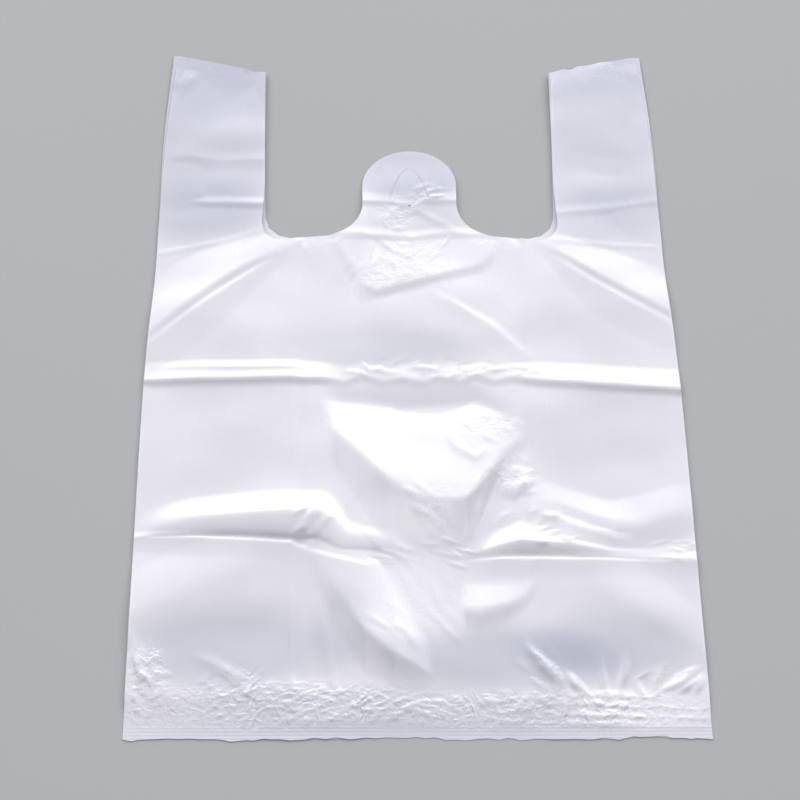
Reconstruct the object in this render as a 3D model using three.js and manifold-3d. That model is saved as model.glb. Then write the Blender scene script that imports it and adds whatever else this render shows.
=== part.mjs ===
// A vest carrier bag of thin film, lying flat on its back panel.
//
// It is built as the real bag is made: a tube of film with a gusset folded into each side, welded
// shut across the bottom and across both handle tops, then die-cut so that the mouth, the two
// handles and the hanging tab are left. A tear slit and a pin hole in the tab finish it.
//
// Millimetres. +X runs across the bag, +Y from the bottom weld to the handles, +Z up.
// The origin is under the middle of the bag, on the surface that it lies on.

import * as THREE from 'three';
import { mergeVertices } from 'three/addons/utils/BufferGeometryUtils.js';
import Module from 'manifold-3d';

// Overall sizes of the flat bag.
const BAG_WIDTH = 300;
const BAG_LENGTH = 470;
const GUSSET_DEPTH = 84;

// Die-cut top: handles, mouth and hanging tab.
const HANDLE_LENGTH = 144;
const HANDLE_WIDTH = 64;
const HANDLE_TOP_DROP = 14;
const HANDLE_CORNER_RADIUS = 16;
const TAB_WIDTH = 56;
const TAB_HEIGHT = 67;
const TAB_FILLET_RADIUS = 26;

// Tear slit and pin hole in the tab.
const SLIT_HALF_SPAN = 12;
const SLIT_HEIGHT = 25;
const SLIT_WIDTH = 0.8;
const SLIT_TOP_MARGIN = 14;
const PIN_RADIUS = 2.5;
const PIN_BELOW_SLIT = 4;

// Film, folds and welds. The film is thicker than the real one so that it makes a sound solid.
const FILM = 0.4;
const FOLD_GAP = 0.3;
const WELD_WIDTH = 8;

// The air left in the bag lifts the front panel into a low belly.
const BELLY_RISE = 11;
const BELLY_LEAD_IN = 100;
const BELLY_LEAD_OUT = 40;

// How finely the curved front panel and the round cuts are divided.
const TAB_COLUMNS = 3;
const SIDE_COLUMNS = 9;
const BODY_ROWS = 14;
const TAB_ROWS = 5;
const HANDLE_ROWS = 4;
const ARC_STEPS = 10;

// How far a cutting or joining block runs past the face that it meets.
const TRIM = 1;

// Places that follow from the sizes above.
const HALF_WIDTH = BAG_WIDTH / 2;
const MOUTH_Y = BAG_LENGTH - HANDLE_LENGTH;
const TAB_HALF = TAB_WIDTH / 2;
const TAB_TOP_Y = MOUTH_Y + TAB_HEIGHT;
const SLIT_TOP_Y = TAB_TOP_Y - SLIT_TOP_MARGIN;
const PIN_Y = SLIT_TOP_Y - SLIT_HEIGHT - PIN_BELOW_SLIT;
const HANDLE_INNER_X = HALF_WIDTH - HANDLE_WIDTH;
const NOTCH_WIDTH = HANDLE_INNER_X - TAB_HALF;
const CORNER_RADIUS = Math.min(HANDLE_CORNER_RADIUS, 0.38 * NOTCH_WIDTH);
const FILLET_RADIUS = Math.min(TAB_FILLET_RADIUS, 0.6 * NOTCH_WIDTH);
const GUSSET_INNER_X = HALF_WIDTH - GUSSET_DEPTH;

// Four layers lie on each other in a gusset: back panel, lower and upper gusset, front panel.
const LAYER_PITCH = FILM + FOLD_GAP;
const BACK_Z = FILM / 2;
const LOWER_GUSSET_Z = BACK_Z + LAYER_PITCH;
const UPPER_GUSSET_Z = BACK_Z + 2 * LAYER_PITCH;
const FRONT_Z = BACK_Z + 3 * LAYER_PITCH;
const PRESSED_HEIGHT = FRONT_Z + FILM / 2;
const FOLD_RADIUS = (LAYER_PITCH + FILM) / 2;
const FOLD_CENTRE_X = HALF_WIDTH - FOLD_RADIUS;
const WELD_HALF_WIDTH = FOLD_CENTRE_X + FOLD_GAP;

const wasm = await Module();
wasm.setup();

// Evenly spaced values from start to end, both included.
function spaced(start, end, steps) {
  return Array.from({ length: steps + 1 }, (_, i) => start + ((end - start) * i) / steps);
}

// Height of a handle's slanted top edge at x: full length at the side, lower at the inner edge.
function handleTopY(x) {
  return BAG_LENGTH - (HANDLE_TOP_DROP * (HALF_WIDTH - Math.abs(x))) / HANDLE_WIDTH;
}

// Lift of the front panel: an arch across the bag that fades towards the welds.
function bellyRise(x, y) {
  const across = 1 - (x / FOLD_CENTRE_X) ** 2;
  const weldedFrom = handleTopY(HANDLE_INNER_X) - WELD_WIDTH;
  const leadIn = THREE.MathUtils.smoothstep(y, WELD_WIDTH, WELD_WIDTH + BELLY_LEAD_IN);
  const leadOut = 1 - THREE.MathUtils.smoothstep(y, MOUTH_Y - BELLY_LEAD_OUT, weldedFrom);
  return BELLY_RISE * across * leadIn * leadOut;
}

// Columns of the front panel from the right side fold to the left one, closest over the tab.
function frontColumns() {
  const tab = spaced(0, TAB_HALF, TAB_COLUMNS);
  const side = spaced(TAB_HALF, FOLD_CENTRE_X, SIDE_COLUMNS).slice(1);
  const right = [...tab, ...side];
  return [...right.slice().reverse(), ...right.slice(1).map((x) => -x)];
}

// Rows along the bag, closest over the tab, from a first row to the end of the handles.
function lengthRows(firstRows) {
  return [
    ...firstRows,
    ...spaced(WELD_WIDTH, MOUTH_Y, BODY_ROWS).slice(1),
    ...spaced(MOUTH_Y, TAB_TOP_Y, TAB_ROWS).slice(1),
    ...spaced(TAB_TOP_Y, BAG_LENGTH, HANDLE_ROWS).slice(1),
  ];
}

// The inner points of a half-turn fold about (x, z), from one angle to another in degrees.
function foldPoints(x, z, fromDegrees, toDegrees) {
  return spaced(fromDegrees, toDegrees, 4).slice(1, -1).map((degrees) => {
    const angle = THREE.MathUtils.degToRad(degrees);
    return new THREE.Vector2(x + FOLD_RADIUS * Math.cos(angle), z + FOLD_RADIUS * Math.sin(angle));
  });
}

// A closed section from its right side, listed upwards, and its top, listed from right to left.
function mirroredSection(rightSide, top) {
  const leftSide = rightSide.map((p) => new THREE.Vector2(-p.x, p.y)).reverse();
  return [...rightSide, ...top, ...leftSide];
}

// Outside of the folded tube at y. The slot between the two gusset layers opens to the side.
function outerSection(y) {
  const slotEnd = GUSSET_INNER_X + FILM;
  const slotLow = LOWER_GUSSET_Z + FILM / 2;
  const slotHigh = UPPER_GUSSET_Z - FILM / 2;
  const rightSide = [
    new THREE.Vector2(FOLD_CENTRE_X, BACK_Z - FILM / 2),
    ...foldPoints(FOLD_CENTRE_X, (BACK_Z + LOWER_GUSSET_Z) / 2, -90, 90),
    new THREE.Vector2(FOLD_CENTRE_X, slotLow),
    new THREE.Vector2(slotEnd, slotLow),
    new THREE.Vector2(slotEnd, slotHigh),
    new THREE.Vector2(FOLD_CENTRE_X, slotHigh),
    ...foldPoints(FOLD_CENTRE_X, (UPPER_GUSSET_Z + FRONT_Z) / 2, -90, 90),
  ];
  const top = frontColumns().map((x) => new THREE.Vector2(x, PRESSED_HEIGHT + bellyRise(x, y)));
  return mirroredSection(rightSide, top);
}

// Inside of the folded tube at y. Each gusset stands into it with its rounded inner fold.
function innerSection(y) {
  const gussetMidZ = (LOWER_GUSSET_Z + UPPER_GUSSET_Z) / 2;
  const turnX = GUSSET_INNER_X + FOLD_RADIUS;
  const rightSide = [
    new THREE.Vector2(FOLD_CENTRE_X, BACK_Z + FILM / 2),
    new THREE.Vector2(FOLD_CENTRE_X, LOWER_GUSSET_Z - FILM / 2),
    new THREE.Vector2(turnX, LOWER_GUSSET_Z - FILM / 2),
    ...foldPoints(turnX, gussetMidZ, 270, 90),
    new THREE.Vector2(turnX, UPPER_GUSSET_Z + FILM / 2),
    new THREE.Vector2(FOLD_CENTRE_X, UPPER_GUSSET_Z + FILM / 2),
  ];
  const underside = FRONT_Z - FILM / 2;
  const top = frontColumns().map((x) => new THREE.Vector2(x, underside + bellyRise(x, y)));
  return mirroredSection(rightSide, top);
}

// A closed geometry through one section per row, capped at both ends.
function loftGeometry(rows, sectionAt) {
  const sections = rows.map((y) => sectionAt(y));
  const count = sections[0].length;
  const positions = sections.flatMap((section, row) => section.flatMap((p) => [p.x, rows[row], p.y]));
  const index = [];
  for (let row = 0; row + 1 < rows.length; row += 1) {
    for (let i = 0; i < count; i += 1) {
      const near = row * count + i;
      const nearNext = row * count + ((i + 1) % count);
      index.push(near, near + count, nearNext);
      index.push(nearNext, near + count, nearNext + count);
    }
  }
  const lastRow = (rows.length - 1) * count;
  const startCap = THREE.ShapeUtils.triangulateShape(sections[0], []);
  const endCap = THREE.ShapeUtils.triangulateShape(sections[rows.length - 1], []);
  startCap.forEach(([a, b, c]) => index.push(a, b, c));
  endCap.forEach(([a, b, c]) => index.push(lastRow + a, lastRow + c, lastRow + b));
  const geometry = new THREE.BufferGeometry();
  geometry.setAttribute('position', new THREE.Float32BufferAttribute(positions, 3));
  geometry.setIndex(index);
  return geometry;
}

// A flat shape raised from one height to another.
function raised(shape, fromZ, toZ) {
  const geometry = new THREE.ExtrudeGeometry(shape, {
    depth: toZ - fromZ,
    bevelEnabled: false,
    curveSegments: ARC_STEPS,
  });
  return geometry.translate(0, 0, fromZ);
}

// A flat shape from a list of corners.
function polygon(corners) {
  return new THREE.Shape(corners.map(([x, y]) => new THREE.Vector2(x, y)));
}

// A solid from a closed geometry.
function solid(geometry) {
  geometry.deleteAttribute('normal');
  geometry.deleteAttribute('uv');
  const merged = mergeVertices(geometry, 1e-5);
  return new wasm.Manifold(new wasm.Mesh({
    numProp: 3,
    vertProperties: new Float32Array(merged.attributes.position.array),
    triVerts: new Uint32Array(merged.index.array),
  }));
}

// The die-cut outline. Its sides and bottom stay clear of the folds and the bottom edge.
function dieLine() {
  const side = HALF_WIDTH + TRIM;
  const handleLow = handleTopY(HANDLE_INNER_X);
  const line = new THREE.Shape();
  line.moveTo(-side, -TRIM);
  line.lineTo(side, -TRIM);
  line.lineTo(side, handleTopY(side));
  line.lineTo(HANDLE_INNER_X, handleLow);
  line.absarc(HANDLE_INNER_X - CORNER_RADIUS, MOUTH_Y + CORNER_RADIUS, CORNER_RADIUS, 0, -Math.PI / 2, true);
  line.absarc(TAB_HALF + FILLET_RADIUS, MOUTH_Y + FILLET_RADIUS, FILLET_RADIUS, -Math.PI / 2, -Math.PI, true);
  line.absarc(0, TAB_TOP_Y - TAB_HALF, TAB_HALF, 0, Math.PI, false);
  line.absarc(-TAB_HALF - FILLET_RADIUS, MOUTH_Y + FILLET_RADIUS, FILLET_RADIUS, 0, -Math.PI / 2, true);
  line.absarc(CORNER_RADIUS - HANDLE_INNER_X, MOUTH_Y + CORNER_RADIUS, CORNER_RADIUS, -Math.PI / 2, -Math.PI, true);
  line.lineTo(-HANDLE_INNER_X, handleLow);
  line.lineTo(-side, handleTopY(side));
  line.closePath();
  return line;
}

// The weld across the bottom edge.
function bottomWeld() {
  const weld = new THREE.BoxGeometry(2 * WELD_HALF_WIDTH, WELD_WIDTH, PRESSED_HEIGHT);
  return weld.translate(0, WELD_WIDTH / 2, PRESSED_HEIGHT / 2);
}

// The weld along one handle's slanted top edge. The die line trims it.
function handleWeld(side) {
  const inner = HANDLE_INNER_X - TRIM;
  const corners = [
    [side * inner, handleTopY(inner) - WELD_WIDTH],
    [side * WELD_HALF_WIDTH, handleTopY(WELD_HALF_WIDTH) - WELD_WIDTH],
    [side * WELD_HALF_WIDTH, BAG_LENGTH + TRIM],
    [side * inner, BAG_LENGTH + TRIM],
  ];
  return raised(polygon(corners), 0, PRESSED_HEIGHT);
}

// The hole that the hanging pin leaves in both layers of the tab.
function pinHole() {
  const depth = PRESSED_HEIGHT + BELLY_RISE + 2 * TRIM;
  const pin = new THREE.CylinderGeometry(PIN_RADIUS, PIN_RADIUS, depth, 2 * ARC_STEPS);
  return pin.rotateX(Math.PI / 2).translate(0, PIN_Y, depth / 2 - TRIM);
}

// The arched tear slit above the pin hole: a narrow parabola, cut through both layers.
function tearSlit() {
  const baseY = SLIT_TOP_Y - SLIT_HEIGHT;
  const archAt = (halfSpan, topY) => new THREE.QuadraticBezierCurve(
    new THREE.Vector2(-halfSpan, baseY),
    new THREE.Vector2(0, 2 * topY - baseY),
    new THREE.Vector2(halfSpan, baseY),
  ).getPoints(2 * ARC_STEPS);
  const outer = archAt(SLIT_HALF_SPAN, SLIT_TOP_Y);
  const inner = archAt(SLIT_HALF_SPAN - SLIT_WIDTH, SLIT_TOP_Y - SLIT_WIDTH);
  return raised(new THREE.Shape([...outer, ...inner.reverse()]), -TRIM, PRESSED_HEIGHT + BELLY_RISE + TRIM);
}

// The whole bag as one closed solid.
function carrierBag() {
  const tube = solid(loftGeometry(lengthRows([0, WELD_WIDTH]), outerSection));
  const inside = solid(loftGeometry([...lengthRows([WELD_WIDTH]), BAG_LENGTH + TRIM], innerSection));
  const dieBlock = solid(raised(dieLine(), -TRIM, PRESSED_HEIGHT + BELLY_RISE + TRIM));
  const bag = tube
    .subtract(inside)
    .add(solid(bottomWeld()))
    .add(solid(handleWeld(1)))
    .add(solid(handleWeld(-1)))
    .intersect(dieBlock)
    .subtract(solid(pinHole()))
    .subtract(solid(tearSlit()));
  const result = bag.getMesh();
  const geometry = new THREE.BufferGeometry();
  geometry.setAttribute('position', new THREE.BufferAttribute(result.vertProperties, 3));
  geometry.setIndex(new THREE.BufferAttribute(result.triVerts, 1));
  geometry.computeVertexNormals();
  return geometry;
}

const milkyFilm = new THREE.MeshStandardMaterial({ color: 0xe3e4ec, roughness: 0.35, metalness: 0 });
const bagMesh = new THREE.Mesh(carrierBag(), milkyFilm);
bagMesh.name = 'carrier_bag';
bagMesh.position.set(0, -BAG_LENGTH / 2, 0);

const bag = new THREE.Group();
bag.add(bagMesh);

export default bag;
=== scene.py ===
"""A vest carrier bag of thin milky film, lying flat on a pale studio floor.

The film is one folded tube: a front panel, a back panel and a gusset folded into each side. It is
laid out as a grid, columns around the tube and rows along it, cut to the die-cut outline, and then
settled into the heights of a bag that has been folded and opened again: a low belly of air, pressed
packing folds, crumples and flat welds.

Lengths are in millimetres until the mesh is made. x runs across the bag from its middle, and v runs
along it from the bottom edge to the handle tops.
"""

from __future__ import annotations

import logging
import math
from dataclasses import dataclass, field
from enum import Enum
from typing import Any

import bpy
import numpy as np
from mathutils import Matrix, Vector
from numpy.typing import NDArray

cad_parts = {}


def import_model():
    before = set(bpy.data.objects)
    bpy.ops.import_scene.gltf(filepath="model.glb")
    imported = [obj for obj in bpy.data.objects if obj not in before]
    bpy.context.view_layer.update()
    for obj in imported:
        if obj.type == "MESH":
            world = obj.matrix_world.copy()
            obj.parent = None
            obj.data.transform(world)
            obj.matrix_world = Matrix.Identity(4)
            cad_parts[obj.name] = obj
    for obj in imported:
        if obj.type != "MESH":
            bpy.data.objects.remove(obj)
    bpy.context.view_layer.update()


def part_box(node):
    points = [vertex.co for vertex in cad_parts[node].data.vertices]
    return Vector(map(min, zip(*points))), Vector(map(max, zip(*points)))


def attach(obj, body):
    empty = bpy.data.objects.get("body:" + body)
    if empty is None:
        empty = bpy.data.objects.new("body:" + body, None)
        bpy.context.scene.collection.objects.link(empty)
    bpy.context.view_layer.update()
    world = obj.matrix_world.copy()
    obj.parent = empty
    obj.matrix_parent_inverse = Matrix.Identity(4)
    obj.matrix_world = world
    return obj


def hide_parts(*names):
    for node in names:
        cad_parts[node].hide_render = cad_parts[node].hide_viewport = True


Field = NDArray[np.float64]
Colour = tuple[float, float, float, float]
Pair = tuple[float, float]
FoldPoint = tuple[float, float, float, float, float]

LOG = logging.getLogger("carrier_bag")
MM = 0.001
BAG_NODE = "carrier_bag"

# The film's UV map, and the two numbers that it holds at each vertex.
FILM_MAP = "film"
WORN_TONE = "crumple"
# The slack tone is painted shade that greys the film's colour, and painted light that brightens it where it
# is below 0.
PAINTED_SHADE_TONE = "slack"

# The power of a fold's flank that makes it a flat facet.
FLAT = 1.0


class Layer(float, Enum):
    """The four layers of film that lie on each other at the sides, from the floor up."""

    BACK = 0.0
    LOWER_GUSSET = 1.0
    UPPER_GUSSET = 2.0
    FRONT = 3.0


def smooth_step(value: Field, low: float | Field, high: float | Field) -> Field:
    """A smooth rise from 0 at low to 1 at high, as 3t^2 - 2t^3.

    Args:
        value: The values to map.
        low: Where the rise starts.
        high: Where the rise ends.

    Returns:
        The share of the rise at each value.
    """
    share = np.clip((value - low) / (high - low), 0.0, 1.0)
    return share * share * (3.0 - 2.0 * share)


def bell(value: Field, centre: float, reach: float) -> Field:
    """A bell curve of height 1 at the centre that falls to 1/e at reach."""
    return np.exp(-(((value - centre) / reach) ** 2))


@dataclass(frozen=True)
class BagCut:
    """The die-cut outline of the flat bag and the depth of its gussets, in millimetres."""

    width: float
    length: float
    gusset_depth: float = 84.0
    handle_length: float = 144.0
    handle_width: float = 64.0
    handle_top_drop: float = 14.0
    corner_radius: float = 16.0
    tab_width: float = 56.0
    tab_height: float = 67.0
    fillet_radius: float = 26.0
    weld_width: float = 8.0
    side_fold_radius: float = 0.5
    warp_from: float = 240.0

    @classmethod
    def from_node(cls, node: str) -> BagCut:
        """The cut of the bag that fills a CAD node's box.

        Args:
            node: Name of the CAD node.

        Returns:
            The cut, as wide and as long as that node.
        """
        low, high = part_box(node)
        return cls(width=(high[0] - low[0]) / MM, length=(high[1] - low[1]) / MM)

    @property
    def side(self) -> float:
        """Where the side fold starts to turn."""
        return self.width / 2 - self.side_fold_radius

    @property
    def mouth(self) -> float:
        """Height of the level part of the mouth."""
        return self.length - self.handle_length

    @property
    def tab_half(self) -> float:
        """Half the width of the hanging tab."""
        return self.tab_width / 2

    @property
    def tab_top(self) -> float:
        """Height of the round top of the tab."""
        return self.mouth + self.tab_height

    @property
    def handle_inner(self) -> float:
        """Distance of a handle's inner edge from the middle."""
        return self.width / 2 - self.handle_width

    @property
    def gusset_inner(self) -> float:
        """Distance of a gusset's inner fold from the middle."""
        return self.width / 2 - self.gusset_depth

    def mouth_line(self, x: Field) -> Field:
        """Height of the mouth cut: level, with an arc up to the tab and one up to each handle.

        An arc of radius r rises by r - sqrt(r^2 - d^2) at d from where it leaves the level cut.
        Inside the tab and the handles the line goes on smoothly, as a parabola.

        Args:
            x: Places across the bag.

        Returns:
            The height of the line at each place.
        """
        away = np.abs(x)
        fillet, corner = self.fillet_radius, self.corner_radius
        into_fillet = np.clip(self.tab_half + fillet - away, 0.0, fillet)
        into_corner = np.clip(away - self.handle_inner + corner, 0.0, corner)
        rise = fillet - np.sqrt(fillet**2 - into_fillet**2)
        rise += corner - np.sqrt(corner**2 - into_corner**2)
        in_tab = fillet * (away / self.tab_half) ** 2
        in_handle = corner * ((self.width / 2 - away) / self.handle_width) ** 2
        rise = np.where(away < self.tab_half, in_tab, rise)
        return self.mouth + np.where(away > self.handle_inner, in_handle, rise)

    def top_line(self, x: Field) -> Field:
        """Height of the top edge: a half circle on the tab, and a slanted line on each handle.

        Args:
            x: Places across the bag.

        Returns:
            The height of the edge at each place.
        """
        away = np.abs(x)
        round_top = np.sqrt(np.clip(self.tab_half**2 - away**2, 0.0, None))
        slant = self.handle_top_drop * (self.width / 2 - away) / self.handle_width
        tab_edge = self.tab_top - self.tab_half + round_top
        return np.where(away <= self.tab_half, tab_edge, self.length - slant)

    def warped(self, x: Field, v: Field) -> Field:
        """Rows bent so that the mouth row follows the mouth cut and the last rows the top edges.

        Each span of a column is stretched evenly: from warp_from to the mouth, and from the mouth
        to the top of the tab or handle.

        Args:
            x: Places across the bag.
            v: Even rows along the bag.

        Returns:
            The bent rows, with the shape of x and v together.
        """
        mouth = self.mouth_line(x)
        span = np.where(np.abs(x) <= self.tab_half, self.tab_height, self.handle_length)
        below = (mouth - self.warp_from) / (self.mouth - self.warp_from)
        above = (self.top_line(x) - mouth) / span
        low = np.where(v > self.warp_from, self.warp_from + (v - self.warp_from) * below, v)
        return np.where(v > self.mouth, mouth + (v - self.mouth) * above, low)

    def is_cut_away(self, left: Field, right: Field, row: Field) -> NDArray[np.bool_]:
        """Which cells of the grid the die cuts out: both notches, and what is above the tab.

        Args:
            left: The column at one side of each cell.
            right: The column at the other side.
            row: The lower row of each cell.

        Returns:
            True for each cell that is cut out.
        """
        slack = 1e-6
        near = np.minimum(np.abs(left), np.abs(right))
        far = np.maximum(np.abs(left), np.abs(right))
        notch = (near >= self.tab_half - slack) & (far <= self.handle_inner + slack)
        above_tab = (far <= self.tab_half + slack) & (row >= self.tab_top - slack)
        return (notch & (row >= self.mouth - slack)) | above_tab


@dataclass(frozen=True)
class Fold:
    """A fold line in the film: a crest with a flank on each side.

    Each point gives a place along the fold, the crest's place across it, the lift there and the
    reach of the far and the near flank. A flank falls as (1 - d / reach)^power of the lift, where d
    is the distance from the crest, so a power of 1 is a flat facet. Rounding takes the sharpness
    off the crest. The far flank lies towards the handles, or to the right on a fold along the bag.
    On a square fold, reach is measured along or across the bag and not square to the crest.

    Places are given on the floor, as seen along a slanted line of sight. A lifted point is seen
    further up the bag than it is, by sight times its height, so it is moved back by that, and the
    flanks of a fold across the bag are shifted to match.
    """

    points: tuple[FoldPoint, ...]
    along_bag: bool = False
    square: bool = False
    far_power: float = 1.2
    near_power: float = 1.4
    rounding: float = 0.3
    sight: float = 0.72
    seen_height: float = 3.0
    least_reach: float = 1.5

    def lift(self, x: Field, v: Field) -> Field:
        """Height of the fold over the flat film.

        Args:
            x: Places across the bag.
            v: Places along the bag.

        Returns:
            The height at each place, zero outside the fold.
        """
        along, across = (v, x) if self.along_bag else (x, v)
        at, crest, lift, far, near = np.array(self.points).T
        back = self.sight * (self.seen_height + lift)
        if self.along_bag:
            at = at - back
        else:
            crest = crest - back
            far = np.maximum(far + self.sight * lift, self.least_reach)
            near = np.maximum(near - self.sight * lift, self.least_reach)
        slant = 0.0 if self.square else np.interp(along, at, np.gradient(crest, at))
        away = (across - np.interp(along, at, crest)) / np.sqrt(1 + slant**2)
        distance = np.sqrt(away**2 + self.rounding**2) - self.rounding
        is_far = away > 0
        reach = np.where(is_far, np.interp(along, at, far), np.interp(along, at, near))
        power = np.where(is_far, self.far_power, self.near_power)
        flank = np.clip(1 - distance / reach, 0.0, 1.0) ** power
        inside = (along >= at[0]) & (along <= at[-1])
        return np.where(inside, np.interp(along, at, lift) * flank, 0.0)


@dataclass(frozen=True)
class Ripple:
    """A smooth random undulation: a sum of plane waves of about one wavelength."""

    height: float
    wavelength: float
    seed: int
    waves: int = 9
    length_spread: Pair = (0.7, 1.5)

    def lift(self, x: Field, v: Field) -> Field:
        """Height of the undulation.

        Args:
            x: Places across the bag.
            v: Places along the bag.

        Returns:
            The height at each place, up and down about zero.
        """
        draw = np.random.default_rng(self.seed)
        turns = draw.uniform(0, 2 * math.pi, self.waves)
        starts = draw.uniform(0, 2 * math.pi, self.waves)
        lengths = self.wavelength * draw.uniform(*self.length_spread, self.waves)
        total = np.zeros(np.broadcast(x, v).shape)
        for turn, start, length in zip(turns, starts, lengths):
            total += np.sin(2 * math.pi * (x * math.cos(turn) + v * math.sin(turn)) / length + start)
        return self.height * total * math.sqrt(2 / self.waves)


@dataclass(frozen=True)
class Spot:
    """An oval place on the film, with its reach across and along the bag."""

    centre: Pair
    reach: Pair

    def share(self, x: Field, v: Field) -> Field:
        """How much of the spot is at each place, by the distance from its centre in reaches.

        Args:
            x: Places across the bag.
            v: Places along the bag.

        Returns:
            1 in the inner part of the spot, fading to 0 a little past its reach.
        """
        full_within, gone_past = 0.45, 1.25
        across = (x - self.centre[0]) / self.reach[0]
        along = (v - self.centre[1]) / self.reach[1]
        return 1 - smooth_step(np.sqrt(across**2 + along**2), full_within, gone_past)


@dataclass(frozen=True)
class PaintedShadePatch(Spot):
    """A spot of painted shade that greys the film's colour, or of painted light that brightens it if the
    amount is below 0.
    """

    amount: float

    def painted_shade_amount(self, x: Field, v: Field) -> Field:
        """The amount of painted shade at each place, which is painted light where it is below 0."""
        return self.amount * self.share(x, v)


@dataclass(frozen=True)
class Crumple(Spot):
    """A spot of short random creases.

    Each crease is a ridge, or for some a shallower valley, with one wide and one narrow flank. It
    fades to its ends as 1 - (a / half its length)^2, where a is the place along it. Grain is how
    much of the film's finer crinkling shows there.
    """

    count: int
    length: Pair
    width: Pair
    height: float
    heading: float
    spread: float
    seed: int
    grain: float = 0.15
    least_height: float = 0.4
    valley_share: float = 0.3
    valley_depth: float = 0.6
    narrow_flank: float = 0.45
    flank_power: float = 1.4

    def lift(self, x: Field, v: Field) -> Field:
        """Height of the spot's creases over the flat film.

        Args:
            x: Places across the bag.
            v: Places along the bag.

        Returns:
            The height at each place.
        """
        draw = np.random.default_rng(self.seed)
        angle = np.radians(draw.uniform(0, 360, self.count))
        out = np.sqrt(draw.uniform(0, 1, self.count))
        centre_x = self.centre[0] + self.reach[0] * out * np.cos(angle)
        centre_v = self.centre[1] + self.reach[1] * out * np.sin(angle)
        turn = np.radians(self.heading + draw.uniform(-self.spread, self.spread, self.count))
        half = draw.uniform(*self.length, self.count) / 2
        wide = draw.uniform(*self.width, self.count)
        high = self.height * draw.uniform(self.least_height, 1.0, self.count)
        high *= np.where(draw.uniform(size=self.count) < self.valley_share, -self.valley_depth, 1.0)
        side = np.where(draw.uniform(size=self.count) < 0.5, 1.0, -1.0)
        creases = zip(centre_x, centre_v, turn, half, wide, high, side)
        total = np.zeros(np.broadcast(x, v).shape)
        for at_x, at_v, theta, long, reach, peak, way in creases:
            along = (x - at_x) * math.cos(theta) + (v - at_v) * math.sin(theta)
            across = way * ((v - at_v) * math.cos(theta) - (x - at_x) * math.sin(theta))
            flank_reach = np.where(across > 0, reach, self.narrow_flank * reach)
            flank = np.clip(1 - np.abs(across) / flank_reach, 0.0, 1.0)
            total += peak * flank**self.flank_power * np.clip(1 - (along / long) ** 2, 0.0, 1.0)
        return total


@dataclass(frozen=True)
class Crinkle(Spot):
    """A spot of close sharp crinkles, drawn out along a heading.

    Two random undulations make them, one of half the pitch of the other. A ridge stands wherever an
    undulation u passes through zero, with a height that falls with |u|, so that its crest is sharp.
    """

    height: float
    pitch: float
    heading: float
    stretch: float
    seed: int
    grain: float = 1.0
    steepness: float = 1.3
    fine_share: float = 0.5
    fine_seed_step: int = 100

    def lift(self, x: Field, v: Field) -> Field:
        """Height of the crinkles over the flat film.

        Args:
            x: Places across the bag.
            v: Places along the bag.

        Returns:
            The height at each place.
        """
        turn = math.radians(self.heading)
        along = (x * math.cos(turn) + v * math.sin(turn)) / self.stretch
        across = v * math.cos(turn) - x * math.sin(turn)
        large = np.abs(Ripple(1.0, self.pitch, self.seed).lift(along, across))
        small = np.abs(Ripple(1.0, self.pitch / 2, self.seed + self.fine_seed_step).lift(along, across))
        ridges = np.clip(1 - self.steepness * large, 0.0, 1.0)
        ridges = ridges + self.fine_share * np.clip(1 - small, 0.0, 1.0)
        return self.height * ridges * self.share(x, v)


@dataclass(frozen=True)
class Relief:
    """Everything that lifts the front panel above the flat stack of layers, and the patches of painted
    shade and painted light on its colour.
    """

    cut: BagCut
    folds: tuple[Fold, ...]
    crumples: tuple[Crumple | Crinkle, ...]
    # The slack patches are painted shade on the film's colour, and painted light where their amount is
    # below 0.
    slack: tuple[PaintedShadePatch, ...]
    ripples: tuple[Ripple, ...] = (Ripple(0.35, 95.0, seed=41), Ripple(0.12, 34.0, seed=42))
    belly: float = 3.5
    belly_lead_in: float = 100.0
    belly_lead_out: float = 90.0
    painted_shade_limits: Pair = (-0.4, 1.4)

    def belly_lift(self, x: Field, v: Field) -> Field:
        """The air in the bag: an arch across it that fades towards the welds.

        Args:
            x: Places across the bag.
            v: Places along the bag.

        Returns:
            The height at each place.
        """
        cut = self.cut
        across = np.clip(1 - (x / cut.side) ** 2, 0.0, 1.0)
        lead_in = smooth_step(v, cut.weld_width, cut.weld_width + self.belly_lead_in)
        lead_out = 1 - smooth_step(v, cut.mouth - self.belly_lead_out, cut.length - 2 * cut.weld_width)
        return self.belly * across * lead_in * lead_out

    def crumpled(self, x: Field, v: Field) -> Field:
        """Height of all the crumples together."""
        return np.sum([spot.lift(x, v) for spot in self.crumples], axis=0)

    def painted_shade_amount(self, x: Field, v: Field) -> Field:
        """How much painted shade greys the film's colour: the sum of the patches, under 0 where painted
        light brightens it.
        """
        return np.clip(np.sum([patch.painted_shade_amount(x, v) for patch in self.slack], axis=0), *self.painted_shade_limits)

    def worn(self, x: Field, v: Field) -> Field:
        """How finely crumpled the film is: the most of the spots at each place."""
        return np.max([spot.grain * spot.share(x, v) for spot in self.crumples], axis=0)

    def lift(self, x: Field, v: Field) -> Field:
        """Height of the front panel over the flat stack: belly, crumples, undulation and folds.

        Args:
            x: Places across the bag.
            v: Places along the bag.

        Returns:
            The height at each place.
        """
        total = self.belly_lift(x, v) + self.crumpled(x, v)
        for part in (*self.ripples, *self.folds):
            total = total + part.lift(x, v)
        return total


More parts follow.
